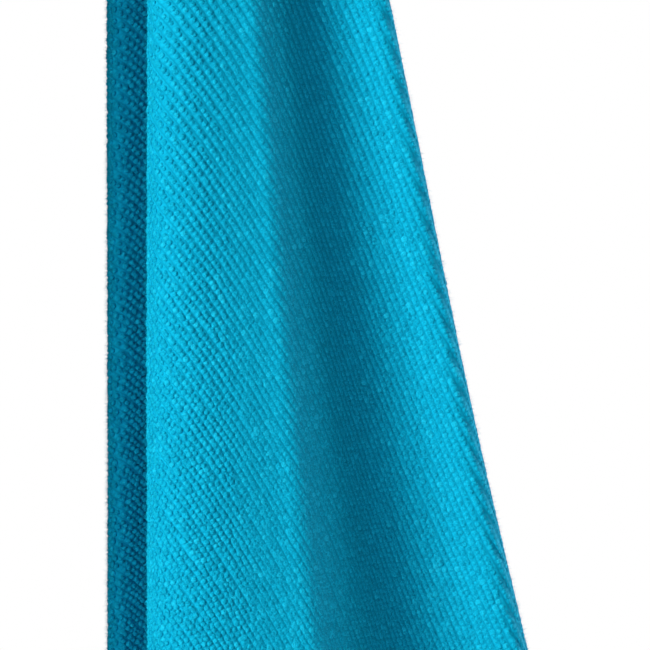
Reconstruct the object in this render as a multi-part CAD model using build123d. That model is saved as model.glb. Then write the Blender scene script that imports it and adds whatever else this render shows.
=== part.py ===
"""A quick-dry travel towel that hangs in folds from the snap loop at one of its corners.

Millimetres, +Z up, +X to the right of a person facing the towel, +Y away from them.
The origin is where the inside of the loop bears on a peg. The peg runs along Y.
"""

from build123d import *
import math
import os

# ---- the flat towel -------------------------------------------------------------------------
TOWEL_LENGTH = 1000.0  # along the ribs of the knit, coordinate u from the hung corner
TOWEL_WIDTH = 500.0  # across the ribs, coordinate v from the hung corner
CLOTH_THICKNESS = 2.0  # with the pile of both faces
BINDING_WIDTH = 8.0
BINDING_EXTRA = 0.5  # the binding tape stands this much thicker than the cloth
GATHERED_THICKNESS = 0.15  # of the crushed cloth right at the patch

# ---- how it hangs ---------------------------------------------------------------------------
CORNER_DROP = 45.0  # the towel's corner is this far below the peg
FOLD_DEPTH = 290.0  # depth below the corner at which the section through the folds is given
FREE_FROM = 450.0  # further down than this the folds hang steeper
FREE_SPREAD = 0.3  # how much of their slope they keep there

# One section across the folds, at FOLD_DEPTH below the corner: crest and valley points in (x, y),
# from the long edge by the right outline, over the front, round the left and through the back.
FOLD_SECTION = [
    (30, 20), (44, 17), (55, 10), (60.2, 2), (61.5, -6), (61.6, -12.4), (60.2, -13.9), (56, -12.9),
    (51.5, -12.1), (47.4, -12.4), (44.5, -13.4), (41.6, -15.3), (38.8, -18.2), (35.4, -22.6), (32, -25.9),
    (30, -27.65), (28.5, -28.95), (27, -29.7), (24.8, -30.05), (20.5, -31.05), (15.5, -32.2), (11, -32.8),
    (5.2, -31.4), (2.4, -26.2), (3, -17), (5.2, -8), (8, -0.5), (5.5, 3), (1, 0.6),
    (-6.2, -3.4), (-7, -0.5), (-8.3, 12), (-8.2, 30), (-5, 47), (3, 57), (12, 53), (14, 40),
    (12, 26), (14, 13), (20, 9), (25, 18), (25, 36), (27, 52), (34, 61), (42, 56),
    (43, 42), (44, 30), (51, 24), (57, 31), (58, 46), (53, 58), (54, 71),
]  # fmt: skip

# ---- the snap loop --------------------------------------------------------------------------
STRAP_WIDTH = 12.0  # along Y
STRAP_THICKNESS = 1.2
PEG_RADIUS = 5.0  # the loop's inside radius at its top
STRAP_GAP = 2.6  # between the two straps where the snap joins them
LOOP_NECK = -24.0  # height at which the two straps run parallel
FREE_END = -43.0  # bottom of the strap that opens
HINGE_CLEARANCE = 0.05

# ---- the press stud -------------------------------------------------------------------------
SNAP_HEIGHT = -34.0
CAP_RADIUS = 5.0
CAP_THICKNESS = 1.0
SOCKET_RADIUS = 4.3
STUD_FLANGE_RADIUS = 3.9
STUD_FLANGE = 0.5
STUD_RADIUS = 1.9
SHANK_RADIUS = 1.1
SNAP_CLEARANCE = 0.15

# ---- corner patch, stitching and label ------------------------------------------------------
PATCH_TOP = -45.5
PATCH_BOTTOM = -55.2
PATCH_WIDTH = 13.0  # along Y
PATCH_DEPTH = 5.0  # along X
LABEL_WIDTH = 14.0
LABEL_TOP = -46.5
LABEL_BOTTOM = -74.0
LABEL_THICKNESS = 0.4
BARTACK_SIZE = (0.5, 9.0, 1.6)
BARTACK_HEIGHTS = (-48.5, -53.0)

CORNER = Vector(0, 0, -CORNER_DROP)
STRAP_CENTRE = (STRAP_GAP + STRAP_THICKNESS) / 2  # of each strap, from the plane between them
LOOP_CENTRE = -PEG_RADIUS
LOOP_RADIUS = PEG_RADIUS + STRAP_THICKNESS / 2


def fold_directions():
    """The polar angle at the corner and the way the cloth runs down, at each point of the section."""
    downs = [Vector(x, y, -FOLD_DEPTH).normalized() for x, y in FOLD_SECTION]
    angles = [0.0]
    for one, other in zip(downs, downs[1:]):
        angles.append(angles[-1] + one.get_angle(other))
    return [a * 90.0 / angles[-1] for a in angles], downs


FOLD_ANGLES, FOLD_DOWNS = fold_directions()


def down_at(angle):
    """The way the cloth runs down from the corner, at a polar angle from the long edge in degrees."""
    angle = min(max(angle, 0.0), 90.0)
    k = next(i for i in range(1, len(FOLD_ANGLES)) if angle <= FOLD_ANGLES[i])
    share = (angle - FOLD_ANGLES[k - 1]) / (FOLD_ANGLES[k] - FOLD_ANGLES[k - 1])
    return (FOLD_DOWNS[k - 1] * (1 - share) + FOLD_DOWNS[k] * share).normalized()


def place(u, v):
    """Where a point of the flat towel hangs: straight from the corner, then steeper."""
    reach = math.hypot(u, v)
    down = down_at(math.degrees(math.atan2(v, u)))
    steep = Vector(down.X * FREE_SPREAD, down.Y * FREE_SPREAD, down.Z).normalized()
    return CORNER + down * min(reach, FREE_FROM) + steep * max(reach - FREE_FROM, 0.0)


def facing(u, v):
    """The way the back of the cloth faces at a point of the flat towel."""
    angle = math.degrees(math.atan2(v, u))
    across = down_at(angle + 1.0) - down_at(angle - 1.0)
    return down_at(angle).cross(across).normalized()


def thickness(u, v, extra=0.0):
    """Full thickness where the folds have room, thinner where the cloth is gathered to the corner."""
    return max((CLOTH_THICKNESS + extra) * min(1.0, math.hypot(u, v) / FOLD_DEPTH), GATHERED_THICKNESS)


def face_of(*corners):
    return Face(Wire.make_polygon(corners, close=True))


def quad(a, b, c, d):
    """Two triangles over four corners that needn't be in one plane."""
    return [face_of(a, b, c), face_of(a, c, d)]


def sheet(rows, extra=0.0):
    """A closed solid over a grid of points of the flat towel, given as rows of (u, v)."""
    front, back = [], []
    for row in rows:
        half = [facing(u, v) * (thickness(u, v, extra) / 2) for u, v in row]
        middle = [place(u, v) for u, v in row]
        front.append([m + h for m, h in zip(middle, half)])
        back.append([m - h for m, h in zip(middle, half)])
    faces = []
    last, end = len(rows) - 1, len(rows[0]) - 1
    for i in range(last):
        for j in range(end):
            faces += quad(front[i][j], front[i][j + 1], front[i + 1][j + 1], front[i + 1][j])
            faces += quad(back[i][j], back[i + 1][j], back[i + 1][j + 1], back[i][j + 1])
        for j in (0, end):
            faces += quad(front[i][j], front[i + 1][j], back[i + 1][j], back[i][j])
    for j in range(end):
        for i in (0, last):
            faces += quad(front[i][j], back[i][j], back[i][j + 1], front[i][j + 1])
    return Solid(Shell(faces))


def rim_point(angle):
    """The point of the flat towel's far edges that lies at an angle from the hung corner."""
    along, across = math.cos(math.radians(angle)), math.sin(math.radians(angle))
    if across * TOWEL_LENGTH <= along * TOWEL_WIDTH:
        return TOWEL_LENGTH, TOWEL_LENGTH * across / along
    return TOWEL_WIDTH * along / across, TOWEL_WIDTH


def inside_bindings(point):
    """The nearest point of the cloth that the bindings leave uncovered."""
    low = BINDING_WIDTH
    return (
        min(max(point[0], low), TOWEL_LENGTH - low),
        min(max(point[1], low), TOWEL_WIDTH - low),
    )


def between(start, end, share):
    return start[0] + (end[0] - start[0]) * share, start[1] + (end[1] - start[1]) * share


HEIGHT_SHARES = (0.012, 0.25, 0.5, 0.75, 1.0)  # rows of the sheet, from the hung corner to the far edges
FAR_CORNER_ANGLE = math.degrees(math.atan2(TOWEL_WIDTH, TOWEL_LENGTH))
FAR_CORNER = min(range(len(FOLD_ANGLES)), key=lambda i: abs(FOLD_ANGLES[i] - FAR_CORNER_ANGLE))
RIM_ANGLES = FOLD_ANGLES[:FAR_CORNER] + [FAR_CORNER_ANGLE] + FOLD_ANGLES[FAR_CORNER + 1 :]
OUTER_RIM = [rim_point(angle) for angle in RIM_ANGLES]
INNER_RIM = [inside_bindings(point) for point in OUTER_RIM]
INNER_START = inside_bindings((0.0, 0.0))
GATHER = BINDING_WIDTH * math.sqrt(2)  # how far from the corner the cloth itself begins


def towel_cloth():
    return sheet([[between(INNER_START, end, share) for end in INNER_RIM] for share in HEIGHT_SHARES])


def near_binding(outer_start, outer_end, inner_end):
    """The binding tape along an edge that starts at the hung corner."""
    outer = [between(outer_start, outer_end, share) for share in HEIGHT_SHARES]
    inner = [between(INNER_START, inner_end, share) for share in HEIGHT_SHARES]
    return sheet([outer, inner], BINDING_EXTRA)


def far_binding(first, last):
    """The binding tape along a far edge, between two points of the rim."""
    return sheet([INNER_RIM[first : last + 1], OUTER_RIM[first : last + 1]], BINDING_EXTRA)


def strap(side, start_angle, bottom):
    """One half of the loop: a band round the peg from its top, then straight to the neck and down."""
    neck = Vector(side * STRAP_CENTRE, 0, LOOP_NECK)
    drop = LOOP_CENTRE - LOOP_NECK
    leaves = 180 - math.degrees(
        math.atan2(STRAP_CENTRE, drop) + math.acos(LOOP_RADIUS / math.hypot(STRAP_CENTRE, drop))
    )

    def on_peg(angle, radius):
        turn = math.radians(angle)
        return Vector(side * radius * math.sin(turn), 0, LOOP_CENTRE + radius * math.cos(turn))

    def arc(start, end, radius):
        middle = on_peg((start + end) / 2, radius)
        return ThreePointArc(on_peg(start, radius), middle, on_peg(end, radius))

    inner, outer = PEG_RADIUS, PEG_RADIUS + STRAP_THICKNESS
    half = Vector(side * STRAP_THICKNESS / 2, 0, 0)
    low = Vector(neck.X, 0, bottom)
    corners = [on_peg(leaves, outer), neck + half, low + half, low - half, neck - half, on_peg(leaves, inner)]
    outline = [arc(start_angle, leaves, outer), arc(leaves, start_angle, inner)]
    outline += [Line(one, other) for one, other in zip(corners, corners[1:])]
    outline.append(Line(on_peg(start_angle, inner), on_peg(start_angle, outer)))
    band = extrude(Face(Wire(outline)), STRAP_WIDTH / 2, dir=(0, 1, 0), both=True)
    return band - disc(SHANK_RADIUS, side * STRAP_GAP / 2, side * (STRAP_GAP / 2 + STRAP_THICKNESS))


def disc(radius, start, end):
    """A round of the press stud: its axis along X at the snap's height, from one x to another."""
    return Location(((start + end) / 2, 0, SNAP_HEIGHT), (0, 90, 0)) * Cylinder(radius, abs(end - start))


def loop_fixed_strap():
    hinge_room = STRAP_THICKNESS / 2 + HINGE_CLEARANCE
    return strap(-1, math.degrees(math.asin(hinge_room / PEG_RADIUS)), PATCH_BOTTOM)


def loop_free_strap():
    fold = Location((0, 0, LOOP_CENTRE + LOOP_RADIUS), (90, 0, 0)) * Cylinder(STRAP_THICKNESS / 2, STRAP_WIDTH)
    return strap(1, 0.0, FREE_END) + fold


INNER_FACE = STRAP_GAP / 2
OUTER_FACE = INNER_FACE + STRAP_THICKNESS
STUD_TIP = 0.9
SOCKET_FLOOR = STUD_TIP + SNAP_CLEARANCE
SOCKET_MOUTH = -INNER_FACE + STUD_FLANGE + SNAP_CLEARANCE
POST_TIP = 0.2


def domed(radius, start, end):
    """A press-stud cap with its outer rim rounded over."""
    cap = disc(radius, start, end)
    rim = cap.edges().filter_by(GeomType.CIRCLE).sort_by(lambda e: abs(e.center().X))[-1]
    return fillet(rim, abs(end - start) * 0.8)


def snap_cap():
    return domed(CAP_RADIUS, OUTER_FACE, OUTER_FACE + CAP_THICKNESS) + disc(SHANK_RADIUS, SOCKET_FLOOR, OUTER_FACE)


def snap_socket():
    bore = disc(STUD_RADIUS + SNAP_CLEARANCE, SOCKET_MOUTH, SOCKET_FLOOR)
    return disc(SOCKET_RADIUS, SOCKET_MOUTH, INNER_FACE) - bore - disc(SHANK_RADIUS, SOCKET_FLOOR, INNER_FACE)


def snap_stud():
    flange = disc(STUD_FLANGE_RADIUS, -INNER_FACE, -INNER_FACE + STUD_FLANGE)
    pin = disc(STUD_RADIUS, -INNER_FACE + STUD_FLANGE, STUD_TIP)
    return flange + pin - disc(SHANK_RADIUS, -INNER_FACE, POST_TIP)


def snap_post():
    return domed(CAP_RADIUS, -OUTER_FACE, -OUTER_FACE - CAP_THICKNESS) + disc(SHANK_RADIUS, -OUTER_FACE, POST_TIP)


def block(low, high):
    """A box between two opposite corners."""
    low, high = Vector(*low), Vector(*high)
    size = high - low
    return Location((low + high) / 2) * Box(size.X, size.Y, size.Z)


def corner_patch():
    """The folded patch that closes round the gathered corner, beside the fixed strap."""
    body = block(
        (-INNER_FACE, -PATCH_WIDTH / 2, PATCH_BOTTOM), (-INNER_FACE + PATCH_DEPTH, PATCH_WIDTH / 2, PATCH_TOP)
    )
    return fillet(body.edges().filter_by(Axis.Z), 1.0)


def care_label():
    """A blank woven label, held under the loop's stitching."""
    return block(
        (-OUTER_FACE - LABEL_THICKNESS, -LABEL_WIDTH / 2, LABEL_BOTTOM), (-OUTER_FACE, LABEL_WIDTH / 2, LABEL_TOP)
    )


def loop_bartacks():
    """Two dense bars of stitching across the strap and the label."""
    x = -OUTER_FACE - LABEL_THICKNESS - BARTACK_SIZE[0] / 2
    bars = [Location((x, 0, z)) * Box(*BARTACK_SIZE) for z in BARTACK_HEIGHTS]
    return Compound(children=[fillet(bar.edges().filter_by(Axis.Y), 0.2) for bar in bars])


PIECES = {
    "towel_cloth": towel_cloth(),
    "binding_long_hung_edge": near_binding((GATHER, 0.0), OUTER_RIM[0], INNER_RIM[0]),
    "binding_short_hung_edge": near_binding((0.0, GATHER), OUTER_RIM[-1], INNER_RIM[-1]),
    "binding_short_low_edge": far_binding(0, FAR_CORNER),
    "binding_long_low_edge": far_binding(FAR_CORNER, len(OUTER_RIM) - 1),
    "corner_patch": corner_patch(),
    "loop_fixed_strap": loop_fixed_strap(),
    "loop_free_strap": loop_free_strap(),
    "snap_cap": snap_cap(),
    "snap_socket": snap_socket(),
    "snap_stud": snap_stud(),
    "snap_post": snap_post(),
    "loop_bartacks": loop_bartacks(),
    "care_label": care_label(),
}

os.makedirs("parts", exist_ok=True)
for name, piece in PIECES.items():
    export_step(piece, f"parts/{name}.step")
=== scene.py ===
"""The looks of the hanging quick-dry towel, in metres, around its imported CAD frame."""

import math

import bmesh
import bpy
import numpy as np
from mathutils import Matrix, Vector

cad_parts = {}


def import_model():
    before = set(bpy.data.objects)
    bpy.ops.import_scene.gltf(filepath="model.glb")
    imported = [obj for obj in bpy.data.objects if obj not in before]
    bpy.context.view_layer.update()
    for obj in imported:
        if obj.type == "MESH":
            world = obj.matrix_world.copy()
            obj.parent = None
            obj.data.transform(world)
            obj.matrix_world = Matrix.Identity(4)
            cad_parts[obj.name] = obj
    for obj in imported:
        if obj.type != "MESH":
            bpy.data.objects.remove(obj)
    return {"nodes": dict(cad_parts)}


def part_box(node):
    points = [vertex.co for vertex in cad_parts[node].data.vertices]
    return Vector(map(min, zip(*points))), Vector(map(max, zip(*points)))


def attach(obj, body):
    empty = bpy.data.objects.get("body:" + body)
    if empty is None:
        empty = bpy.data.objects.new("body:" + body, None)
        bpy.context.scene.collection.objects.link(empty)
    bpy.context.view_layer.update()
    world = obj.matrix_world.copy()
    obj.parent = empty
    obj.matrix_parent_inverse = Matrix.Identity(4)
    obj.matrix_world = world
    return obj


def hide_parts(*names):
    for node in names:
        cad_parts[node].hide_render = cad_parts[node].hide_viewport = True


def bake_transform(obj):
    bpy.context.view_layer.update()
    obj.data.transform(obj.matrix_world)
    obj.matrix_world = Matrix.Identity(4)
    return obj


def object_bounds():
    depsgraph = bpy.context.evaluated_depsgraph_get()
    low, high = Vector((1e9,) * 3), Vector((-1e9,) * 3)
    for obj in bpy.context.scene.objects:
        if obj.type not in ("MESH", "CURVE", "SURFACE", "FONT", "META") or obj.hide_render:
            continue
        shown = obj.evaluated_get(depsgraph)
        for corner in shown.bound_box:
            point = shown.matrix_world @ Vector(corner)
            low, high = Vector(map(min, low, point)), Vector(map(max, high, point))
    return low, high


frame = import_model()
CAD_BOX = [list(corner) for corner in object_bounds()]

# ---- the towel, as it is cut and as it hangs (the same figures as the CAD source) -----------
TOWEL_LENGTH = 1.0  # along the ribs of the knit: coordinate u, from the hung corner
TOWEL_WIDTH = 0.5  # across the ribs: coordinate v, from the hung corner
CLOTH_THICKNESS = 0.002
GATHERED_THICKNESS = 0.00015
BINDING_WIDTH = 0.008
BINDING_PROUD = 0.0003  # how far the tape stands off each face of the cloth
FOLD_DEPTH = 0.290  # where FOLD_SECTION lies, below the corner
CORNER = np.array([0.0, 0.0, -0.045])  # the hung corner, gathered in the patch
GATHER = 0.009  # the cloth leaves the corner patch at this distance from the corner
FRONT_LIMIT = -0.070  # low folds that swing nearer than this are drawn in,
FRONT_GIVE = 0.030  # and never reach this much nearer

# crest and valley points of one section across the folds, in millimetres, at FOLD_DEPTH below the
# corner: from the long edge by the right outline, over the front, round the left, through the back
FOLD_SECTION = [
    (30, 20), (44, 17), (55, 10), (60.2, 2), (61.5, -6), (61.6, -12.4), (60.2, -13.9), (56, -12.9),
    (51.5, -12.1), (47.4, -12.4), (44.5, -13.4), (41.6, -15.3), (38.8, -18.2), (35.4, -22.6), (32, -25.9),
    (30, -27.65), (28.5, -28.95), (27, -29.7), (24.8, -30.05), (20.5, -31.05), (15.5, -32.2), (11, -32.8),
    (5.2, -31.4), (2.4, -26.2), (3, -17), (5.2, -8), (8, -0.5), (5.5, 3), (1, 0.6),
    (-6.2, -3.4), (-7, -0.5), (-8.3, 12), (-8.2, 30), (-5, 47), (3, 57), (12, 53), (14, 40),
    (12, 26), (14, 13), (20, 9), (25, 18), (25, 36), (27, 52), (34, 61), (42, 56),
    (43, 42), (44, 30), (51, 24), (57, 31), (58, 46), (53, 58), (54, 71),
]  # fmt: skip

# ---- the knit: KNIT_TURN is how far it is skewed at polar angles about the corner, in degrees ------
RIB_PITCH = 0.00142  # from rib to rib
COURSE_PITCH = 0.00105  # from loop to loop along a rib
KNIT_TURN = [
    (0, 0), (11, 1.5), (14, 3), (17, 6), (20, 9.5), (23, 13.5), (26, 16.5), (33, 18), (60, 9), (90, 0),
]  # fmt: skip
KNIT_BEND = 1.2  # how the skew grows down the towel, per metre, times its share at each polar angle
KNIT_BEND_SHARE = [(0, 0.3), (16, 0.3), (23, 2.1), (90, 2.1)]
KNIT_BEND_REACH = 0.08  # the skew has stopped growing this far past FOLD_DEPTH


# ---- small numeric tools ---------------------------------------------------------------------
def natural_spline(points, samples):
    """A smooth line through points, as many samples evenly spaced in its own parameter."""
    p = np.asarray(points, float)
    t = np.r_[0, np.cumsum(np.sqrt(np.linalg.norm(np.diff(p, axis=0), axis=1)))]
    n, h = len(p), np.diff(t)
    left, right = np.eye(n), np.zeros_like(p)
    for i in range(1, n - 1):
        left[i, i - 1 : i + 2] = h[i - 1], 2 * (h[i - 1] + h[i]), h[i]
        right[i] = 6 * ((p[i + 1] - p[i]) / h[i] - (p[i] - p[i - 1]) / h[i - 1])
    bend = np.linalg.solve(left, right)
    at = np.linspace(0, t[-1], samples)
    k = np.clip(np.searchsorted(t, at, side="right") - 1, 0, n - 2)
    a = ((t[k + 1] - at) / h[k])[:, None]
    b = 1 - a
    lift = ((a**3 - a) * bend[k] + (b**3 - b) * bend[k + 1]) * h[k][:, None] ** 2 / 6
    return a * p[k] + b * p[k + 1] + lift


def smooth_step(x, low, high):
    """From 0 at low to 1 at high, level at both ends."""
    t = np.clip((x - low) / (high - low), 0, 1)
    return t * t * (3 - 2 * t)


def unit(v):
    """Vectors in the last axis, brought to length 1."""
    return v / np.maximum(np.linalg.norm(v, axis=-1, keepdims=True), 1e-12)


# ---- how the cloth hangs ---------------------------------------------------------------------
SECTION = natural_spline(FOLD_SECTION, 8001) / 1000
DOWNS = unit(np.c_[SECTION / FOLD_DEPTH, -np.ones(len(SECTION))])
ANGLES = np.r_[0, np.cumsum(np.linalg.norm(np.diff(DOWNS, axis=0), axis=1))]
ANGLES *= (math.pi / 2) / ANGLES[-1]
LEFT_FOLD = np.radians([26, 31, 38, 44])  # where the left fold starts, is upright, and ends
HOLLOW = 0.007  # how far the folds hang inside a straight line, for each unit of their slope
HOLLOW_DEPTH, HOLLOW_REACH = 0.305, 0.06
# depths below the corner between which the left fold's side turns upright, and turns back
UPRIGHT_IN, UPRIGHT_OUT = (0.05, 0.2), (0.38, 0.6)


def down_at(angle):
    """The way from the hung corner down the cloth, at a polar angle about it on the flat towel."""
    return unit(np.stack([np.interp(angle, ANGLES, DOWNS[:, i]) for i in range(3)], -1))


def folded(u, v):
    """The gathered cloth: straight down from the corner in its folds, the left fold's side upright."""
    reach, angle = np.hypot(u, v), np.arctan2(v, u)
    place = CORNER + reach[..., None] * down_at(angle)
    upright = smooth_step(angle, *LEFT_FOLD[:2]) * (1 - smooth_step(angle, *LEFT_FOLD[2:]))
    depth = CORNER[2] - place[..., 2]
    sideways = down_at(angle)[..., 0] / -down_at(angle)[..., 2]
    fade = smooth_step(depth, *UPRIGHT_IN) * (1 - smooth_step(depth, *UPRIGHT_OUT))
    place[..., 0] += upright * fade * sideways * (FOLD_DEPTH - depth)
    place[..., 0] -= HOLLOW * np.exp(-(((depth - HOLLOW_DEPTH) / HOLLOW_REACH) ** 2)) * sideways
    return place


# ---- the cloth simulation: the lower towel falls, the gathered top is held ------------------
SIM_STEP = 0.010
SIM_FRAMES = 60
HELD_TO, FREE_BELOW = 0.40, 0.52  # reaches from the corner between which the cloth is let go
SIM_SHAPE = (round(TOWEL_LENGTH / SIM_STEP) + 1, round(TOWEL_WIDTH / SIM_STEP) + 1)


def grid_faces(rows, columns):
    """Four-sided faces between the points of a grid."""
    index = np.arange(rows * columns).reshape(rows, columns)
    corners = [index[:-1, :-1], index[1:, :-1], index[1:, 1:], index[:-1, 1:]]
    return np.stack(corners, -1).reshape(-1, 4)


def simulated():
    """How far each point of a coarse grid of the cloth moves from its folded place, as it falls."""
    u, v = np.meshgrid(
        np.linspace(0, TOWEL_LENGTH, SIM_SHAPE[0]), np.linspace(0, TOWEL_WIDTH, SIM_SHAPE[1]), indexing="ij"
    )
    start = folded(u, v)
    mesh = bpy.data.meshes.new("falling")
    mesh.from_pydata(start.reshape(-1, 3).tolist(), [], grid_faces(*SIM_SHAPE).tolist())
    cloth = bpy.data.objects.new("falling", mesh)
    bpy.context.scene.collection.objects.link(cloth)
    held = cloth.vertex_groups.new(name="held")
    share = np.clip((FREE_BELOW - np.hypot(u, v).ravel()) / (FREE_BELOW - HELD_TO), 0, 1) ** 2
    for i in np.nonzero(share > 0)[0]:
        held.add([int(i)], float(share[i]), "REPLACE")
    modifier = cloth.modifiers.new("cloth", "CLOTH")
    s, c = modifier.settings, modifier.collision_settings
    s.quality, s.mass, s.vertex_group_mass, s.pin_stiffness = 8, 0.3, "held", 1
    s.tension_stiffness = s.compression_stiffness = 20
    s.shear_stiffness, s.bending_stiffness = 8, 0.3
    s.tension_damping = s.compression_damping = s.shear_damping = 5
    s.bending_damping, s.air_damping = 0.5, 2
    c.use_collision, c.use_self_collision = False, True
    c.self_distance_min, c.self_friction, c.collision_quality = 0.003, 5, 2
    modifier.point_cache.frame_end = SIM_FRAMES
    for number in range(1, SIM_FRAMES + 1):
        bpy.context.scene.frame_set(number)
    fallen = cloth.evaluated_get(bpy.context.evaluated_depsgraph_get())
    end = np.empty(len(mesh.vertices) * 3)
    fallen.data.vertices.foreach_get("co", end)
    bpy.data.objects.remove(cloth)
    bpy.context.scene.frame_set(1)
    return end.reshape(start.shape) - start


FALL = simulated()


def cubic_weights(t):
    """Catmull-Rom weights of the four grid lines about a place between the middle two."""
    return np.stack(
        [
            -0.5 * t + t**2 - 0.5 * t**3,
            1 - 2.5 * t**2 + 1.5 * t**3,
            0.5 * t + 2 * t**2 - 1.5 * t**3,
            -0.5 * t**2 + 0.5 * t**3,
        ],
        -1,
    )


def fall_at(u, v):
    """The simulated fall, read smoothly between the points of its coarse grid."""
    row, column = np.clip(u / SIM_STEP, 0, SIM_SHAPE[0] - 1), np.clip(v / SIM_STEP, 0, SIM_SHAPE[1] - 1)
    i = np.minimum(row.astype(int), SIM_SHAPE[0] - 2)
    j = np.minimum(column.astype(int), SIM_SHAPE[1] - 2)
    wi, wj = cubic_weights(row - i), cubic_weights(column - j)
    total = np.zeros(u.shape + (3,))
    for a in range(4):
        for b in range(4):
            near = FALL[np.clip(i + a - 1, 0, SIM_SHAPE[0] - 1), np.clip(j + b - 1, 0, SIM_SHAPE[1] - 1)]
            total += (wi[..., a] * wj[..., b])[..., None] * near
    return total


def hang(u, v):
    """Where points of the flat towel are as it hangs: the middle of the cloth's thickness."""
    place = folded(u, v) + fall_at(u, v)
    beyond = np.maximum(FRONT_LIMIT - place[..., 1], 0)
    place[..., 1] += beyond - FRONT_GIVE * (1 - np.exp(-beyond / FRONT_GIVE))
    return place


def facing(u, v, step=0.0006):
    """The way the outer face of the cloth looks at points of the flat towel."""
    along = hang(u + step, v) - hang(u - step, v)
    across = hang(u, v + step) - hang(u, v - step)
    return unit(np.cross(across, along))


def cloth_thickness(u, v):
    """The cloth's thickness: the pile is crushed where the folds run together at the corner."""
    share = np.minimum(1, np.hypot(u, v) / FOLD_DEPTH)
    return np.maximum(CLOTH_THICKNESS * share, GATHERED_THICKNESS)


# ---- the knit's own coordinates ---------------------------------------------------------------
KNIT_ANGLES = np.linspace(0, math.pi / 2, 901)
TURN = np.radians(natural_spline(KNIT_TURN, 400))
KNIT_SKEW = KNIT_ANGLES + np.interp(KNIT_ANGLES, TURN[:, 0], TURN[:, 1])
SKEW_RATE = np.gradient(KNIT_SKEW, KNIT_ANGLES)
STEP_ANGLE = KNIT_ANGLES[1]
RIB_START = np.cumsum(FOLD_DEPTH * np.cos(KNIT_SKEW) * (1 - SKEW_RATE)) * STEP_ANGLE
COURSE_START = np.cumsum(FOLD_DEPTH * np.sin(KNIT_SKEW) * (SKEW_RATE - 1)) * STEP_ANGLE


def knit_coordinates(u, v):
    """Along the ribs and across them, with the skew that hanging from a corner pulls into a knit."""
    reach, angle = np.hypot(u, v), np.arctan2(v, u)
    skew = np.interp(angle, KNIT_ANGLES, KNIT_SKEW)
    bent = KNIT_BEND * KNIT_BEND_REACH**2 * np.log(np.cosh((reach - FOLD_DEPTH) / KNIT_BEND_REACH))
    bent *= np.interp(np.degrees(angle), *np.array(KNIT_BEND_SHARE).T)
    along = np.interp(angle, KNIT_ANGLES, COURSE_START) + reach * np.cos(skew)
    across = np.interp(angle, KNIT_ANGLES, RIB_START) + reach * np.sin(skew) + bent
    return along, across


# ---- meshes ------------------------------------------------------------------------------------
def piece(name, points, faces, material, body="towel", uv=None):
    """A mesh object made from arrays of points and faces, riding on a CAD body."""
    mesh = bpy.data.meshes.new(name)
    places = np.asarray(points, float).reshape(-1, 3)
    mesh.from_pydata(places.tolist(), [], [list(map(int, f)) for f in faces])
    outward = bmesh.new()
    outward.from_mesh(mesh)
    bmesh.ops.recalc_face_normals(outward, faces=outward.faces)
    outward.to_mesh(mesh)
    outward.free()
    mesh.materials.append(material)
    mesh.shade_smooth()
    if uv is not None:
        layer = mesh.uv_layers.new(name="surface")
        corner = np.empty(len(mesh.loops), int)
        mesh.loops.foreach_get("vertex_index", corner)
        layer.data.foreach_set("uv", np.asarray(uv, float).reshape(-1, 2)[corner].ravel())
    thing = bpy.data.objects.new(name, mesh)
    bpy.context.scene.collection.objects.link(thing)
    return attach(thing, body) if body else thing


def closed_sheet(shape):
    """Faces of a sheet with two sides: a grid of points, the same grid for its back, and the rim."""
    rows, columns = shape
    front = grid_faces(rows, columns)
    back = front[:, ::-1] + rows * columns
    index = np.arange(rows * columns).reshape(rows, columns)
    loop = np.r_[index[0, :-1], index[:-1, -1], index[-1, :0:-1], index[:0:-1, 0]]
    following = np.roll(loop, -1)
    rim = np.stack([loop, following, following + rows * columns, loop + rows * columns], -1)
    return np.concatenate([front, back, rim])


def tube_faces(rows, columns):
    """Faces of a tube with closed ends: rows of points round it, each a ring of columns points."""
    index = np.arange(rows * columns).reshape(rows, columns)
    beside = np.roll(index, -1, axis=1)
    sides = np.stack([index[:-1], beside[:-1], beside[1:], index[1:]], -1).reshape(-1, 4)
    return [*sides, index[0, ::-1], index[-1]]


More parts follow.
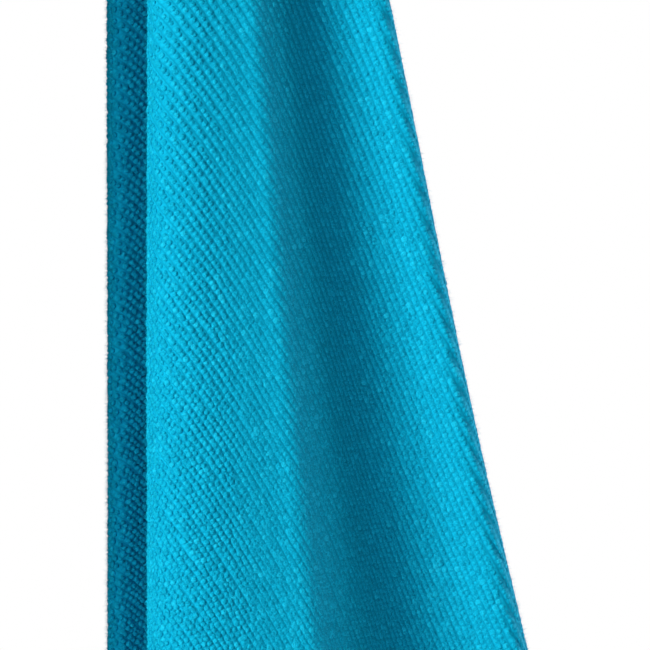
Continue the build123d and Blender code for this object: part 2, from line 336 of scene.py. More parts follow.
# ---- materials -----------------------------------------------------------------------------------
class Nodes:
    """A short way to write a material's nodes: each call makes one node and returns its output."""

    def __init__(self, name):
        self.material = bpy.data.materials.new(name)
        self.material.use_nodes = True
        self.tree = self.material.node_tree
        self.shader = self.tree.nodes["Principled BSDF"]

    def put(self, socket, value):
        if isinstance(value, bpy.types.NodeSocket):
            self.tree.links.new(value, socket)
        else:
            socket.default_value = value

    def node(self, kind, values=(), output=0, **settings):
        made = self.tree.nodes.new(kind)
        for key, value in settings.items():
            setattr(made, key, value)
        named = values.items() if isinstance(values, dict) else enumerate(values)
        for key, value in named:
            self.put(made.inputs[key], value)
        return made.outputs[output]

    def math(self, operation, *values):
        return self.node("ShaderNodeMath", values, operation=operation)

    def mix(self, share, one, other):
        made = self.tree.nodes.new("ShaderNodeMix")
        made.data_type = "RGBA"
        for key, value in ((0, share), (6, one), (7, other)):
            self.put(made.inputs[key], value)
        return made.outputs[2]

    def noise(self, where, scale, detail=2.0, roughness=0.5):
        values = {"Vector": where, "Scale": scale, "Detail": detail, "Roughness": roughness}
        return self.node("ShaderNodeTexNoise", values)

    def place(self):
        """Where a point is on the object, in metres."""
        return self.node("ShaderNodeTexCoord", output=3)

    def surface(self):
        """The piece's own coordinates on its surface, in metres unless its maker says otherwise."""
        return self.node("ShaderNodeUVMap", uv_map="surface")

    def parts(self, vector):
        made = self.tree.nodes.new("ShaderNodeSeparateXYZ")
        self.tree.links.new(vector, made.inputs[0])
        return made.outputs

    def vector(self, *values):
        return self.node("ShaderNodeCombineXYZ", values)

    def range(self, value, from_low, from_high, to_low, to_high):
        return self.node("ShaderNodeMapRange", (value, from_low, from_high, to_low, to_high))

    def bump(self, height, distance):
        values = {"Strength": 1.0, "Distance": distance, "Height": height}
        return self.node("ShaderNodeBump", values)

    def finish(self, **values):
        """Set the shader's inputs, an underscore for each blank in their names."""
        for key, value in values.items():
            self.put(self.shader.inputs[key.replace("_", " ")], value)
        return self.material


# CYAN_DEEP is also the terry's painted shade in its grooves, and CYAN_PALE its painted highlight on the
# loop tops
CYAN = (0.003, 0.37, 0.608, 1)
CYAN_DEEP = (0.0015, 0.18, 0.328, 1)
CYAN_PALE = (0.012, 0.54, 0.815, 1)
CYAN_SHEEN = (0.01, 0.80, 1.0, 1)


def terry():
    """Ribbed terry knit: rows of small loops, staggered from rib to rib, with painted shade in the grooves
    between them and a painted highlight on the loops' tops.
    """
    n = Nodes("terry")
    along, across, _ = n.parts(n.surface())
    where = n.vector(along, across, 0.0)
    waver = n.math("MULTIPLY", n.math("SUBTRACT", n.noise(where, 260.0), 0.5), 0.0006)
    rib = n.math("DIVIDE", n.math("ADD", across, waver), RIB_PITCH)
    rib_number = n.math("FLOOR", rib)
    stagger = n.math("MULTIPLY", n.math("MODULO", rib_number, 2.0), 0.5)
    drift = n.math("MULTIPLY", n.math("SUBTRACT", n.noise(where, 420.0), 0.5), 0.8)
    course = n.math("ADD", n.math("ADD", n.math("DIVIDE", along, COURSE_PITCH), stagger), drift)
    course_number = n.math("FLOOR", course)
    ridge = n.math("SINE", n.math("MULTIPLY", n.math("FRACT", rib), math.pi))
    loop = n.math("SINE", n.math("MULTIPLY", n.math("FRACT", course), math.pi))
    place = n.vector(rib_number, course_number, 0.0)
    own = n.node("ShaderNodeTexWhiteNoise", {"Vector": place}, noise_dimensions="2D")
    loops = n.math("POWER", ridge, 0.6)
    tops = n.math("ADD", n.math("MULTIPLY", n.math("POWER", loop, 0.7), 0.6), 0.4)
    body = n.math("MULTIPLY", n.math("MULTIPLY", loops, tops), n.range(own, 0.0, 1.0, 0.7, 1.0))
    yarn = n.noise(where, 5200.0, 3.0, 0.6)
    height = n.math("ADD", body, n.math("MULTIPLY", yarn, 0.35))
    patchy = n.noise(where, 38.0, 3.0)
    # painted shade: darker where the loops are low, in the grooves between loops and ribs; each loop's own
    # random tone also shifts it
    tone = n.mix(n.range(body, 0.05, 0.6, 0.35, 1.0), CYAN_DEEP, CYAN)
    # painted highlight: paler on the highest points of the loops and their yarn
    tone = n.mix(n.math("MULTIPLY", n.range(height, 0.75, 1.2, 0.0, 1.0), 0.4), tone, CYAN_PALE)
    tone = n.mix(n.range(patchy, 0.35, 0.65, 0.0, 0.10), tone, CYAN_DEEP)
    return n.finish(
        Base_Color=tone,
        Roughness=0.85,
        Sheen_Weight=0.35,
        Sheen_Roughness=0.5,
        Sheen_Tint=CYAN_SHEEN,
        Specular_IOR_Level=0.1,
        Specular_Tint=CYAN_SHEEN,
        Normal=n.bump(height, 0.00016),
    )


def pile():
    """The yarn of the standing loops and of the fine fibres on them, a little uneven in colour."""
    n = Nodes("terry_pile")
    where = n.place()
    own = n.parts(n.surface())[0]
    yarn = n.noise(where, 2800.0, 3.0, 0.6)
    tone = n.mix(n.range(own, 0.2, 1.0, 0.0, 0.35), CYAN, CYAN_DEEP)
    tone = n.mix(n.range(own, -0.15, -0.35, 0.0, 0.6), tone, CYAN_PALE)
    tone = n.mix(n.math("MULTIPLY", n.range(yarn, 0.50, 0.72, 0.0, 1.0), 0.75), tone, CYAN_PALE)
    tone = n.mix(n.math("MULTIPLY", n.range(yarn, 0.50, 0.30, 0.0, 1.0), 0.6), tone, CYAN_DEEP)
    return n.finish(
        Base_Color=tone,
        Roughness=0.8,
        Sheen_Weight=0.4,
        Sheen_Roughness=0.5,
        Sheen_Tint=CYAN_SHEEN,
        Specular_IOR_Level=0.15,
        Specular_Tint=CYAN_SHEEN,
        Normal=n.bump(yarn, 0.00028),
    )


def woven(name, dark, light, along_pitch, across_pitch, depth):
    """Woven tape: two sets of yarns over and under each other, with painted shade where they dip between
    each other.
    """
    n = Nodes(name)
    along, across, _ = n.parts(n.surface())
    where = n.vector(along, across, 0.0)
    row = n.math("DIVIDE", along, along_pitch)
    offset = n.math("MULTIPLY", n.math("FLOOR", row), 0.5)
    line = n.math("ADD", n.math("DIVIDE", across, across_pitch), offset)
    over = n.math("SINE", n.math("MULTIPLY", n.math("FRACT", row), math.pi))
    under = n.math("SINE", n.math("MULTIPLY", n.math("FRACT", line), math.pi))
    fuzz = n.math("MULTIPLY", n.noise(where, 6000.0, 3.0), 0.3)
    height = n.math("ADD", n.math("MULTIPLY", over, under), fuzz)
    # painted shade: darker where the yarns dip, in the hollows between them
    tone = n.mix(n.range(height, 0.1, 1.1, 0.0, 1.0), dark, light)
    tone = n.mix(n.math("MULTIPLY", n.noise(where, 90.0, 3.0), 0.25), tone, dark)
    return n.finish(
        Base_Color=tone,
        Roughness=0.7,
        Sheen_Weight=0.1,
        Specular_IOR_Level=0.12,
        Normal=n.bump(height, depth),
    )


def thread(name, dark, light):
    """Spun sewing thread."""
    n = Nodes(name)
    where = n.place()
    grain = n.noise(where, 2600.0, 3.0)
    tone = n.mix(grain, dark, light)
    return n.finish(Base_Color=tone, Roughness=0.55, Sheen_Weight=0.2, Normal=n.bump(grain, 0.0001))


def moulded():
    """The press stud's moulded plastic: satin, a fine grain and faint handling marks."""
    n = Nodes("moulded_snap")
    where = n.place()
    grain, marks = n.noise(where, 3800.0, 2.0), n.noise(where, 240.0, 4.0)
    tone = n.mix(marks, (0.012, 0.017, 0.022, 1), (0.035, 0.045, 0.055, 1))
    return n.finish(
        Base_Color=tone, Roughness=n.range(marks, 0.3, 0.7, 0.32, 0.5), Normal=n.bump(grain, 0.00004)
    )


def satin_label():
    """White woven satin, its fine lines across the label."""
    n = Nodes("satin_label")
    along, across, _ = n.parts(n.surface())
    lines = n.math("SINE", n.math("MULTIPLY", along, 2 * math.pi / 0.0003))
    grain = n.noise(n.vector(along, across, 0.0), 900.0, 2.0)
    tone = n.mix(grain, (0.56, 0.57, 0.57, 1), (0.66, 0.66, 0.65, 1))
    return n.finish(Base_Color=tone, Roughness=0.42, Sheen_Weight=0.2, Normal=n.bump(lines, 0.00003))


TERRY = terry()
PILE = pile()
BINDING = woven("binding_tape", (0.002, 0.12, 0.22, 1), (0.01, 0.30, 0.50, 1), 0.0006, 0.0009, 0.00012)
WEBBING = woven("webbing", (0.004, 0.012, 0.018, 1), (0.03, 0.06, 0.08, 1), 0.0008, 0.0016, 0.00025)
THREAD = thread("binding_thread", (0.002, 0.16, 0.28, 1), (0.02, 0.38, 0.60, 1))
DARK_THREAD = thread("loop_thread", (0.01, 0.02, 0.03, 1), (0.05, 0.08, 0.10, 1))
SNAP = moulded()
LABEL = satin_label()


# ---- the towel ------------------------------------------------------------------------------------
FAR_ANGLE = math.atan2(TOWEL_WIDTH, TOWEL_LENGTH)
FINE_FROM, FINE_TO = np.radians([5, 37])  # the folds that face the front
FINE_LINES, COARSE_BEFORE, COARSE_AFTER = 230, 16, 101  # mesh lines in them, and on either side
ROWS = 125


def fold_angles():
    """Polar angles of the mesh's lines: closer together on the front folds, one at the far corner."""
    before = np.linspace(0, FINE_FROM, COARSE_BEFORE)[:-1]
    fine = np.linspace(FINE_FROM, FINE_TO, FINE_LINES)
    after = np.linspace(FINE_TO, math.pi / 2, COARSE_AFTER)[1:]
    angles = np.r_[before, fine, after]
    angles[np.abs(angles - FAR_ANGLE).argmin()] = FAR_ANGLE
    return angles


def rim_reach(angle):
    """How far it is from the hung corner to the far edges, at a polar angle."""
    long_way = TOWEL_LENGTH / np.maximum(np.cos(angle), 1e-9)
    return np.minimum(long_way, TOWEL_WIDTH / np.maximum(np.sin(angle), 1e-9))


def towel():
    """The cloth: one closed mesh with a front, a back and a rim."""
    angle = fold_angles()
    share = np.linspace(0, 1, ROWS)[:, None]
    reach = GATHER + share * (rim_reach(angle) - GATHER)
    u, v = reach * np.cos(angle), reach * np.sin(angle)
    middle = hang(u, v)
    half = facing(u, v) * cloth_thickness(u, v)[..., None] / 2
    points = np.concatenate([(middle + half).reshape(-1, 3), (middle - half).reshape(-1, 3)])
    knit = np.stack(knit_coordinates(u, v), -1).reshape(-1, 2)
    cloth = piece("towel_cloth_terry", points, closed_sheet(u.shape), TERRY, uv=np.r_[knit, knit])
    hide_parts("towel_cloth")
    return cloth


# ---- the standing pile on the folds that face the front --------------------------------------------
PILE_REACH = (0.195, 0.385)  # from the hung corner
PILE_ANGLES = np.radians([3, 39])
PILE_FADE = 0.02  # the loops shrink away over this much of the reach at each end
PILE_GRID = 260  # points each way, in the search for where the loops stand
LOOP_HEIGHT, LEAST_HEIGHT = 0.00034, 0.00005
LOOP_LENGTH, LOOP_WIDTH = 0.61, 0.48  # half a loop, in courses along its rib and in ribs across it
# how tall the loops stand, times LOOP_HEIGHT, at polar angles in degrees
PILE_STAND = [
    (0, 0.5), (11, 0.45), (14, 0.36), (18, 0.12), (20.5, 0.16),
    (22, 0.65), (24, 1.15), (30, 1.9), (90, 1.9),
]  # fmt: skip
LOOP_PROFILE = ((-0.25, 1.0, 0.0), (0.55, 0.9, 0.12), (1.0, 0.0, 0.3))  # each ring's height, girth, lean
LOOP_SIDES = 6
FEWEST_LOOPS = 4  # a shorter row of loops is left out
TURNED_AWAY = 0.45  # a loop whose way out has a larger y than this faces into the back of the folds
RIB_WANDER = 0.08  # how far a rib strays sideways, as a share of the pitch
FIBRES_PER_LOOP = 3
FIBRE_LENGTH, FIBRE_RADIUS = 0.0009, 0.00002
chance = np.random.default_rng(11)


def rib_loops(rib, reach, angle, along, across):
    """Where the loops of one rib stand on the flat towel: their reach and angle from its corner."""
    level = (rib + 0.5) * RIB_PITCH
    at = np.array([np.interp(level, row, angle, np.nan, np.nan) for row in across])
    on = np.isfinite(at)
    if on.sum() < FEWEST_LOOPS:
        return np.empty((0, 2))
    way = np.array([np.interp(t, angle, row) for t, row in zip(at[on], along[on])])
    first, last = way[0] / COURSE_PITCH, way[-1] / COURSE_PITCH
    course = np.arange(math.ceil(first), math.floor(last)) + 0.5 - 0.5 * (rib % 2)
    steps = np.interp((course + chance.uniform(-0.24, 0.24, len(course))) * COURSE_PITCH, way, reach[on])
    return np.stack([steps, np.interp(steps, reach[on], at[on])], -1)


def pile_loops():
    """Every standing loop: its foot, the way out, the way along its rib, reach, stray and angle."""
    reach, angle = np.linspace(*PILE_REACH, PILE_GRID), np.linspace(*PILE_ANGLES, PILE_GRID)
    u, v = reach[:, None] * np.cos(angle), reach[:, None] * np.sin(angle)
    along, across = knit_coordinates(u, v)
    ribs = range(math.ceil(across.min() / RIB_PITCH), math.floor(across.max() / RIB_PITCH))
    rows = []
    for rib in ribs:
        places = rib_loops(rib, reach, angle, along, across)
        if len(places) < FEWEST_LOOPS:
            continue
        far, turned = places.T
        u, v = far * np.cos(turned), far * np.sin(turned)
        out = facing(u, v)
        foot = hang(u, v) + out * cloth_thickness(u, v)[:, None] / 2
        stray = np.convolve(chance.normal(0, RIB_WANDER, len(foot) + 8), np.ones(9) / 3, "valid")
        rows.append((foot, out, unit(np.gradient(foot, axis=0)), far, stray, turned))
    loops = [np.concatenate(part) for part in zip(*rows)]
    seen = loops[1][:, 1] < TURNED_AWAY
    return [part[seen] for part in loops]


def loop_faces():
    """Faces of one loop: the wall between its two rings, the cone to its tip, and its floor."""
    low = np.arange(LOOP_SIDES)
    following = np.roll(low, -1)
    wall = np.stack([low, following, following + LOOP_SIDES, low + LOOP_SIDES], -1).tolist()
    tip = np.full(LOOP_SIDES, 2 * LOOP_SIDES)
    cone = np.stack([low + LOOP_SIDES, following + LOOP_SIDES, tip], -1).tolist()
    return [*wall, *cone, low[::-1].tolist()]


def standing_pile():
    """The loops as small leaning domes of yarn, and fine fibres that stand off them."""
    foot, out, along, reach, stray, angle = pile_loops()
    beside = np.cross(along, out)
    count = len(foot)
    fade = smooth_step(reach, PILE_REACH[0], PILE_REACH[0] + PILE_FADE)
    fade *= 1 - smooth_step(reach, PILE_REACH[1] - PILE_FADE, PILE_REACH[1])
    standing = np.interp(np.degrees(angle), *np.array(PILE_STAND).T) * fade
    size = chance.uniform(0.75, 1.12, (count, 1))
    turn = chance.normal(0, 0.2, (count, 1))
    cosine, sine = np.cos(turn), np.sin(turn)
    along, beside = along * cosine + beside * sine, beside * cosine - along * sine
    foot = foot + beside * (chance.normal(0, 0.05, (count, 1)) + stray[:, None]) * RIB_PITCH
    height = LOOP_HEIGHT * chance.uniform(0.6, 1.2, count) * standing
    height = np.maximum(height, LEAST_HEIGHT)[:, None]
    lean = unit(chance.normal(0, 1, (count, 3)) * 0.5 + [0, 0, -1]) * np.minimum(height, LOOP_HEIGHT)
    turns = np.arange(LOOP_SIDES) * 2 * math.pi / LOOP_SIDES
    rings = []
    for level, girth, tilt in LOOP_PROFILE:
        centre = foot + out * height * level + lean * tilt
        ring = turns if girth else turns[:1]
        for t in ring:
            girdle = along * (COURSE_PITCH * LOOP_LENGTH * math.cos(t))
            girdle += beside * (RIB_PITCH * LOOP_WIDTH * math.sin(t))
            rings.append(centre + girdle * girth * size)
    points = np.stack(rings, 1)
    one = loop_faces()
    each = points.shape[1]
    tint = chance.uniform(-0.35, 1, count)
    made = []
    thirds = np.array_split(np.argsort(foot[:, 0], kind="stable"), 3)
    for side, chosen in zip(("left", "middle", "right"), thirds):
        faces = [[i + k * each for i in face] for k in range(len(chosen)) for face in one]
        uv = np.repeat(np.c_[tint[chosen], tint[chosen]], each, 0)
        tufts = piece("terry_loops_" + side, points[chosen], faces, PILE, uv=uv)
        tall = chosen[fade[chosen] > 0.5]
        parts = (part[tall] for part in (foot + out * height, out, along, beside))
        made += [tufts, fibres("terry_fibres_" + side, *parts)]
    return made


def fibres(name, tops, out, along, beside):
    """Fine straight fibres that stand off the loops every way: long, thin, closed, three-sided spikes."""
    count = len(tops) * FIBRES_PER_LOOP
    which = np.repeat(np.arange(len(tops)), FIBRES_PER_LOOP)
    spread = chance.normal(0, 0.33, (2, count, 1)) * COURSE_PITCH
    root = tops[which] + along[which] * spread[0] + beside[which] * spread[1] - out[which] * 0.0001
    way = unit(out[which] + chance.normal(0, 0.6, (count, 3)) + [0, 0, -0.15])
    tip = root + way * FIBRE_LENGTH * chance.uniform(0.35, 1.3, (count, 1)) ** 1.5
    side = unit(np.cross(way, [0.3, 0.5, 0.8]))
    other = np.cross(way, side)
    corners = [side, -0.5 * side + 0.87 * other, -0.5 * side - 0.87 * other]
    points = np.stack([root + c * FIBRE_RADIUS for c in corners] + [tip], 1)
    spike = ((0, 1, 3), (1, 2, 3), (2, 0, 3), (2, 1, 0))
    faces = [[i + k * 4 for i in face] for k in range(count) for face in spike]
    uv = np.repeat(chance.uniform(-0.3, 0.3, (count, 2)), 4, 0)
    made = piece(name, points, faces, PILE, uv=uv)
    return made


# ---- the binding and its stitches ---------------------------------------------------------------
# each tape's edge on the flat towel, as shares of its length and width: start, end and the way in
TAPE_EDGES = {
    "binding_long_hung_edge": ((0, 0), (1, 0), (0, 1)),
    "binding_short_hung_edge": ((0, 0), (0, 1), (1, 0)),
    "binding_short_low_edge": ((1, 0), (1, 1), (-1, 0)),
    "binding_long_low_edge": ((0, 1), (1, 1), (0, -1)),
}
TAPE_POINT_GAP = 0.005
STITCH_PITCH, STITCH_LENGTH, STITCH_RADIUS = 0.0036, 0.0026, 0.00021
STITCH_INSET = 0.0058
STITCH_MARGIN = 0.08  # the stitches start this far from the hung corner


def edge_line(start, end, gap, margin):
    """Points along one edge of the flat towel, from corner to corner, short of the hung corner."""
    size = np.array([TOWEL_LENGTH, TOWEL_WIDTH])
    one, other = np.array(start) * size, np.array(end) * size
    length = np.linalg.norm(other - one)
    first = margin if tuple(start) == (0, 0) else 0.0
    way = np.linspace(first, length, max(2, round((length - first) / gap)))
    return one + (other - one) / length * way[:, None], way


def off_edge(line, inward, inset, lift):
    """Points set in from an edge line by inset and lifted off the cloth's middle by lift."""
    at = line + np.array(inward) * max(inset, 0)
    u, v = np.clip(at[:, 0], 0, TOWEL_LENGTH), np.clip(at[:, 1], 0, TOWEL_WIDTH)
    place, out = hang(u, v), facing(u, v)
    if inset < 0:
        inner = at + np.array(inward) * 0.001
        place = place + unit(place - hang(inner[:, 0], inner[:, 1])) * -inset
    half = cloth_thickness(u, v) / 2
    return place + out * (np.sign(lift) * (half + BINDING_PROUD) * min(1, abs(lift)))[:, None]


def tape_section():
    """The tape's outline across the edge: in along the front face, round the edge and back."""
    edge = [(BINDING_WIDTH, 0.8), (BINDING_WIDTH - 0.0004, 1.0)]
    front = edge + [(0.0055, 1.0), (0.0030, 1.0), (0.0008, 1.0)]
    nose = [(0.0001, 0.85), (-0.0005, 0.4)]
    half = front + nose
    return half + [(inset, -lift) for inset, lift in reversed(half)]


def binding(node, start, end, inward):
    """One edge's tape, folded over it."""
    line, way = edge_line(start, end, TAPE_POINT_GAP, GATHER)
    section = tape_section()
    rings = np.stack([off_edge(line, inward, inset, lift) for inset, lift in section], 1)
    girth = np.cumsum([0.0] + [abs(a[0] - b[0]) + 0.0006 for a, b in zip(section, section[1:])])
    uv = np.stack(np.broadcast_arrays(way[:, None], girth[None]), -1)
    tape = piece(node + "_tape", rings, tube_faces(*rings.shape[:2]), BINDING, uv=uv)
    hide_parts(node)
    return tape


def stitch_row(start, end, inward, side):
    """The places and directions of one row of stitches on one face of the tape."""
    line, _ = edge_line(start, end, STITCH_PITCH, STITCH_MARGIN)
    mids = off_edge(line, inward, STITCH_INSET, side)
    outs = facing(*np.clip(line + np.array(inward) * STITCH_INSET, 0, None).T) * side
    return mids + outs * STITCH_RADIUS * 0.5, unit(np.gradient(mids, axis=0)), outs


def stitches():
    """Short capsules of thread in a row along each face of each tape."""
    rows = [stitch_row(*edge, side) for edge in TAPE_EDGES.values() for side in (1, -1)]
    middle, along, out = (np.concatenate([row[k] for row in rows]) for k in range(3))
    beside = np.cross(along, out)
    profile = [(-0.5, 0.25), (-0.38, 0.85), (0.0, 1.0), (0.38, 0.85), (0.5, 0.25)]
    turns = np.arange(6) * math.pi / 3
    rings = np.stack(
        [
            np.stack(
                [
                    middle
                    + along * STITCH_LENGTH * way
                    + (out * math.sin(t) + beside * math.cos(t)) * STITCH_RADIUS * girth
                    for t in turns
                ],
                1,
            )
            for way, girth in profile
        ],
        1,
    )
    one = tube_faces(len(profile), len(turns))
    count = len(profile) * len(turns)
    faces = [np.array(f) + k * count for k in range(len(middle)) for f in one]
    made = piece("edge_stitches", rings, faces, THREAD)
    return made


# ---- the loop, its patch and its label -----------------------------------------------------------
STRAP_WIDTH, STRAP_THICKNESS = 0.012, 0.0012
PEG_RADIUS = 0.005
STRAP_CENTRE = 0.0019  # of each strap, from the plane between them
LOOP_CENTRE = -PEG_RADIUS
LOOP_RADIUS = PEG_RADIUS + STRAP_THICKNESS / 2
LOOP_NECK = -0.024  # where the straps part below the peg


def strap_line():
    """The webbing's middle line in (x, z): up from the patch, round the peg and down to the free end."""
    drop = LOOP_CENTRE - LOOP_NECK
    reach = math.hypot(STRAP_CENTRE, drop)
    leaves = math.pi - math.atan2(STRAP_CENTRE, drop) - math.acos(LOOP_RADIUS / reach)
    low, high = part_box("loop_fixed_strap")[0].z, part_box("loop_free_strap")[0].z
    rises = [(-STRAP_CENTRE, z) for z in np.linspace(low, LOOP_NECK, 22)]
    turns = np.linspace(-leaves, leaves, 41)
    bend = [(LOOP_RADIUS * math.sin(t), LOOP_CENTRE + LOOP_RADIUS * math.cos(t)) for t in turns]
    falls = [(STRAP_CENTRE, z) for z in np.linspace(LOOP_NECK, high, 16)]
    ways = np.linspace(0, 1, 9)[1:-1, None]
    up = np.array(rises[-1]) * (1 - ways) + np.array(bend[0]) * ways
    down = np.array(bend[-1]) * (1 - ways) + np.array(falls[0]) * ways
    return np.concatenate([rises, up, bend, down, falls])


def softened(line, rounds):
    """A line with its corners eased, its ends kept."""
    for _ in range(rounds):
        line = np.concatenate([line[:1], (line[:-2] + 2 * line[1:-1] + line[2:]) / 4, line[-1:]])
    return line


def rounded_band(width, thick):
    """The outline of a flat strap across its length, with rounded edges: (across, through)."""
    turn = np.linspace(-math.pi / 2, math.pi / 2, 5)
    straight = width / 2 - thick / 2
    edge = np.stack([straight + np.cos(turn) * thick / 2, np.sin(turn) * thick / 2], -1)
    flat = np.linspace(straight, -straight, 12)[1:-1]
    top = np.stack([flat, np.full(len(flat), thick / 2)], -1)
    half = np.concatenate([edge, top])
    return np.concatenate([half, -half])


def band_rings(line, width, thick):
    """Rings of a flat band that follows a line in the (x, z) plane, its width along y."""
    along = unit(np.gradient(line, axis=0))
    out = np.stack([-along[:, 1], along[:, 0]], -1)
    outline = rounded_band(width, thick)
    x = line[:, None, 0] + out[:, None, 0] * outline[None, :, 1]
    z = line[:, None, 1] + out[:, None, 1] * outline[None, :, 1]
    y = np.broadcast_to(outline[None, :, 0], x.shape)
    way = np.r_[0, np.cumsum(np.linalg.norm(np.diff(line, axis=0), axis=1))]
    uv = np.stack(np.broadcast_arrays(way[:, None], outline[None, :, 0] + outline[None, :, 1]), -1)
    return np.stack([x, y, z], -1), uv


def hang_loop():
    """One strap of webbing from the patch, over the peg and down to the snap; it bends at its top."""
    rings, uv = band_rings(softened(strap_line(), 3), STRAP_WIDTH - 0.0002, STRAP_THICKNESS)
    strap = piece("hang_loop_webbing", rings, tube_faces(*rings.shape[:2]), WEBBING, body=None, uv=uv)
    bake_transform(strap)
    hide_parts("loop_fixed_strap", "loop_free_strap")
    return strap


def corner_patch():
    """The folded patch: a soft closed sleeve, fuller in the middle, that grips the gathered corner."""
    low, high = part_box("corner_patch")
    centre, size = (low + high) / 2, high - low
    profile = [
        (0.0, 0.55), (0.02, 0.86), (0.07, 0.96), (0.18, 0.93), (0.24, 0.97), (0.5, 1.0),
        (0.76, 0.97), (0.82, 0.93), (0.93, 0.96), (0.98, 0.86), (1.0, 0.55),
    ]  # fmt: skip
    turns = np.linspace(0, 2 * math.pi, 40, endpoint=False)
    square = 0.35  # how boxy the sleeve's plan is

    def plan(t, half):
        return half * math.copysign(abs(math.cos(t)) ** square, math.cos(t))

    rings = [
        [
            (
                centre.x + plan(t, size.x / 2) * girth,
                centre.y + plan(t - math.pi / 2, size.y / 2) * girth,
                low.z + size.z * level,
            )
            for t in turns
        ]
        for level, girth in profile
    ]
    rings = np.array(rings)
    uv = np.stack([rings[..., 2], np.broadcast_to(turns * 0.005, rings.shape[:2])], -1)
    patch = piece("corner_patch_sleeve", rings, tube_faces(*rings.shape[:2]), WEBBING, uv=uv)
    patch.modifiers.new("soft", "SUBSURF").levels = 1
    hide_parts("corner_patch")
    return patch


def bartacks():
    """Two dense zigzags of thread across the strap's end, where the CAD has their two bars."""
    low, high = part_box("loop_bartacks")
    bar, passes = 0.0016, 30
    points, faces = [], []
    turns = np.arange(6) * math.pi / 3
    for base in (low.z, high.z - bar):
        for k in range(passes):
            y = low.y + (high.y - low.y) * (k + 0.5) / passes
            lean = 0.00012 if k % 2 else -0.00012
            start = len(points)
            for level in np.linspace(0, 1, 5):
                girth = 0.00019 * (0.55 + 0.45 * math.sin(math.pi * level))
                x = low.x + 0.00035 - 0.00012 * math.sin(math.pi * level)
                tilt, z = lean * (level - 0.5) * 2, base + bar * level
                for t in turns:
                    points.append((x + girth * math.sin(t), y + tilt + girth * math.cos(t), z))
            faces += [np.array(f) + start for f in tube_faces(5, 6)]
    made = piece("loop_bartack_threads", points, faces, DARK_THREAD)
    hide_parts("loop_bartacks")
    return made


def label():
    """The blank label: a thin woven satin strip that hangs from the bartacks and curls a little."""
    low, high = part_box("care_label")
    length, width = high.z - low.z, high.y - low.y
    way, across = np.meshgrid(np.linspace(0, 1, 40), np.linspace(-0.5, 0.5, 22), indexing="ij")
    curl = 0.0011 * smooth_step(way, 0.3, 1.0) + 0.0003 * way * np.cos(across * math.pi * 2)
    x = high.x - 0.00012 - curl
    middle = np.stack([x, across * width, high.z - way * length], -1)
    half = np.array([0.00009, 0, 0])
    uv = np.stack([way * length, across * width], -1).reshape(-1, 2)
    points = np.concatenate([(middle - half).reshape(-1, 3), (middle + half).reshape(-1, 3)])
    made = piece("care_label_blank", points, closed_sheet(way.shape), LABEL, uv=np.r_[uv, uv])
    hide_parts("care_label")
    return made


# ---- studio ----------------------------------------------------------------------------------------
WARM, NEUTRAL, WHITE = (1.0, 1.0, 0.88), (0.85, 1.0, 1.03), (1.0, 1.0, 1.0)
COOL = (0.8, 1.0, 1.2, 1)
VIEW_HEIGHT = 0.130  # how much of the towel the camera's frame shows
VIEW_DEPTH = FOLD_DEPTH  # the middle of the view, below the corner
VIEW_MIDDLE_X = 0.0356
VIEW_PLANE_Y = -0.010
LENS, SENSOR = 150.0, 36.0
WORLD_LIGHT, WORLD_BACKDROP = 0.095, 1.0
FLOOR_GAP, FLOOR_RADIUS = 0.12, 6.0
FLOOR_LIFT = 0.86  # how much lighter the camera sees the floor
FLAG_X, FLAG_FROM_Y, FLAG_TO_Y = -0.030, -0.038, 0.06
FLAG_TOP, FLAG_FOOT = 0.05, -1.25
FLAG_DENSITY = 0.91
# azimuth and elevation from the camera's side in degrees, distance, size, power and colour
LAMPS = {
    "key": (-50, 14, 2.2, (0.6, 0.9), 57, WARM),
    "fill": (-26, 12, 2.8, (0.8, 0.8), 24, NEUTRAL),
    "edge": (118, 8, 2.4, (0.5, 1.5), 75, WHITE),
}


def pale_floor():
    """Pale matt card. What the camera sees of it is lifted to near white, like the world behind."""
    n = Nodes("pale_floor")
    grain = n.noise(n.place(), 30.0, 3.0)
    seen = n.math("MULTIPLY", n.node("ShaderNodeLightPath"), FLOOR_LIFT)
    return n.finish(
        Base_Color=n.mix(grain, (0.86, 0.86, 0.86, 1), (0.84, 0.84, 0.85, 1)),
        Roughness=0.9,
        Emission_Color=(1, 1, 1, 1),
        Emission_Strength=seen,
    )


def floor():
    """A wide pale disc a little below the towel."""
    place = (0, 0, CAD_BOX[0][2] - FLOOR_GAP)
    bpy.ops.mesh.primitive_circle_add(
        vertices=96, radius=FLOOR_RADIUS, fill_type="NGON", location=place
    )
    ground = bpy.context.object
    ground.name = "floor"
    ground.data.materials.append(pale_floor())


def lamp(name, place, target, size, power, colour):
    """A rectangular soft lamp that looks at the target."""
    data = bpy.data.lights.new(name, "AREA")
    data.shape, data.size, data.size_y = "RECTANGLE", size[0], size[1]
    data.energy, data.color = power, colour
    thing = bpy.data.objects.new(name, data)
    bpy.context.scene.collection.objects.link(thing)
    thing.location = place
    thing.rotation_euler = (Vector(target) - Vector(place)).to_track_quat("-Z", "Y").to_euler()


def around(target, azimuth, elevation, distance):
    """A place at an azimuth from the camera's side of the target: positive to the right, in degrees."""
    a, e = math.radians(azimuth), math.radians(elevation)
    return (
        target[0] + distance * math.cos(e) * math.sin(a),
        target[1] - distance * math.cos(e) * math.cos(a),
        target[2] + distance * math.sin(e),
    )


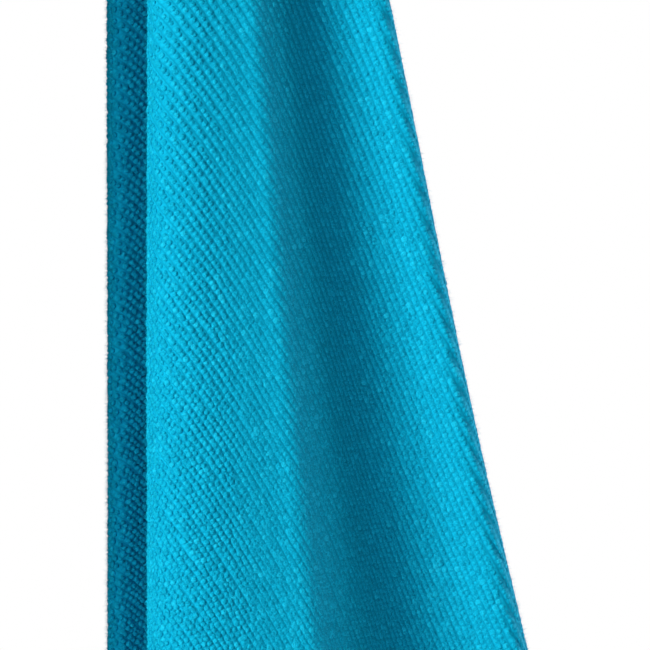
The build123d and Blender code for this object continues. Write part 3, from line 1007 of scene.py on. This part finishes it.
def world(light, backdrop):
    """White behind the object, and a softer even light on it."""
    made = bpy.data.worlds.new("studio")
    bpy.context.scene.world = made
    made.use_nodes = True
    tree = made.node_tree
    back = tree.nodes["Background"]
    seen = tree.nodes.new("ShaderNodeLightPath").outputs["Is Camera Ray"]
    amount = tree.nodes.new("ShaderNodeMapRange")
    amount.inputs["To Min"].default_value, amount.inputs["To Max"].default_value = light, backdrop
    tree.links.new(seen, amount.inputs["Value"])
    tree.links.new(amount.outputs[0], back.inputs["Strength"])
    tint = tree.nodes.new("ShaderNodeMix")
    tint.data_type = "RGBA"
    tint.inputs[6].default_value, tint.inputs[7].default_value = COOL, (1, 1, 1, 1)
    tree.links.new(seen, tint.inputs[0])
    tree.links.new(tint.outputs[2], back.inputs["Color"])


def camera(target):
    """A long lens, level, straight in front of the target."""
    data = bpy.data.cameras.new("camera")
    data.lens, data.sensor_width, data.clip_start = LENS, SENSOR, 0.01
    thing = bpy.data.objects.new("camera", data)
    bpy.context.scene.collection.objects.link(thing)
    thing.location = (target[0], target[1] - VIEW_HEIGHT * LENS / SENSOR, target[2])
    thing.rotation_euler = (math.pi / 2, 0, 0)
    bpy.context.scene.camera = thing


def flag_net():
    """Grey net that lets a little light through."""
    n = Nodes("flag_net")
    grain = n.noise(n.place(), 30.0, 3.0)
    grey = n.mix(grain, (0.25, 0.25, 0.25, 1), (0.24625, 0.24625, 0.24625, 1))
    return n.finish(Base_Color=grey, Roughness=0.9, Alpha=FLAG_DENSITY)


def flag():
    """A net that keeps most of the key light off the towel's left; it is out of the camera's sight."""
    front, back = FLAG_FROM_Y, FLAG_TO_Y
    corners = ((front, FLAG_TOP), (back, FLAG_TOP), (back, FLAG_FOOT), (front, FLAG_FOOT))
    mesh = bpy.data.meshes.new("left_flag")
    mesh.from_pydata([(FLAG_X, y, z) for y, z in corners], [], [(0, 1, 2, 3)])
    card = bpy.data.objects.new("left_flag", mesh)
    bpy.context.scene.collection.objects.link(card)
    mesh.materials.append(flag_net())
    card.visible_camera = False


def studio():
    target = (VIEW_MIDDLE_X, VIEW_PLANE_Y, CORNER[2] - VIEW_DEPTH)
    floor()
    world(WORLD_LIGHT, WORLD_BACKDROP)
    flag()
    for name, (azimuth, elevation, distance, *rest) in LAMPS.items():
        lamp(name, around(target, azimuth, elevation, distance), target, *rest)
    camera(target)
    scene = bpy.context.scene
    scene.view_settings.view_transform = "Standard"
    scene.view_settings.look = "None"


# ---- everything ------------------------------------------------------------------------------------
cloth = towel()
tapes = [binding(node, *edge) for node, edge in TAPE_EDGES.items()]
stitches()
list(standing_pile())
hang_loop()
corner_patch()
bartacks()
label()
for node in ("snap_cap", "snap_socket", "snap_stud", "snap_post"):
    for material_slot in frame["nodes"][node].material_slots:
        material_slot.material = SNAP
studio()
